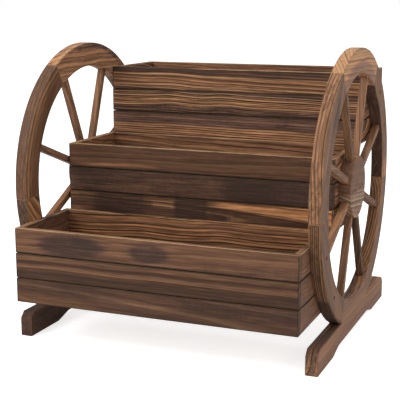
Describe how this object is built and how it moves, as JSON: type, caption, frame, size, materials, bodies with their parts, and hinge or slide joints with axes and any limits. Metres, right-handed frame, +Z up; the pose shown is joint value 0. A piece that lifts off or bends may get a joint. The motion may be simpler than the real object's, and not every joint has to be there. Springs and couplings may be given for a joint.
{
  "type": "flower cart stand",
  "caption": "Free-standing wooden planter with open plank boxes stepped up and back like stairs, hung between wagon wheels on feet, for pots and garden flowers.",
  "frame": {"origin": "on the ground, under the middle of the whole stand", "axes": "+X to the right along the boxes, +Y from the lower box at the front to the upper box at the back, +Z up"},
  "size_m": [0.629, 0.6374, 0.5845],
  "materials": {
    "plank_wood": "charred and brushed fir, satin",
    "inner_wood": "charred fir, matt",
    "rim_wood": "charred and brushed fir, satin",
    "spoke_wood": "charred and brushed fir, satin",
    "hub_wood": "charred and brushed fir, satin",
    "foot_wood": "charred and brushed fir, satin",
    "key_wood": "planed hardwood, matt"
  },
  "bodies": {
    "root": {"lower_front_plank_1": "plank_wood", "lower_front_plank_2": "plank_wood", "lower_front_plank_3": "plank_wood", "lower_back_plank_1": "plank_wood", "lower_back_plank_2": "plank_wood", "lower_back_plank_3": "plank_wood", "lower_left_plank_1": "plank_wood", "lower_left_plank_2": "plank_wood", "lower_left_plank_3": "plank_wood", "lower_right_plank_1": "plank_wood", "lower_right_plank_2": "plank_wood", "lower_right_plank_3": "plank_wood", "lower_floor_slats": "inner_wood", "lower_inner_frame": "inner_wood", "middle_front_plank_1": "plank_wood", "middle_front_plank_2": "plank_wood", "middle_front_plank_3": "plank_wood", "middle_back_plank_1": "plank_wood", "middle_back_plank_2": "plank_wood", "middle_back_plank_3": "plank_wood", "middle_left_plank_1": "plank_wood", "middle_left_plank_2": "plank_wood", "middle_left_plank_3": "plank_wood", "middle_right_plank_1": "plank_wood", "middle_right_plank_2": "plank_wood", "middle_right_plank_3": "plank_wood", "middle_floor_slats": "inner_wood", "middle_inner_frame": "inner_wood", "upper_front_plank_1": "plank_wood", "upper_front_plank_2": "plank_wood", "upper_front_plank_3": "plank_wood", "upper_back_plank_1": "plank_wood", "upper_back_plank_2": "plank_wood", "upper_back_plank_3": "plank_wood", "upper_left_plank_1": "plank_wood", "upper_left_plank_2": "plank_wood", "upper_left_plank_3": "plank_wood", "upper_right_plank_1": "plank_wood", "upper_right_plank_2": "plank_wood", "upper_right_plank_3": "plank_wood", "upper_floor_slats": "inner_wood", "upper_inner_frame": "inner_wood", "left_wheel_felloe_1": "rim_wood", "left_wheel_felloe_2": "rim_wood", "left_wheel_felloe_3": "rim_wood", "left_wheel_felloe_4": "rim_wood", "left_wheel_felloe_5": "rim_wood", "left_wheel_spokes": "spoke_wood", "left_wheel_hub": "hub_wood", "left_foot": "foot_wood", "right_wheel_felloe_1": "rim_wood", "right_wheel_felloe_2": "rim_wood", "right_wheel_felloe_3": "rim_wood", "right_wheel_felloe_4": "rim_wood", "right_wheel_felloe_5": "rim_wood", "right_wheel_spokes": "spoke_wood", "right_wheel_hub": "hub_wood", "right_foot": "foot_wood", "rim_keys": "key_wood"}
  },
  "joints": []
}
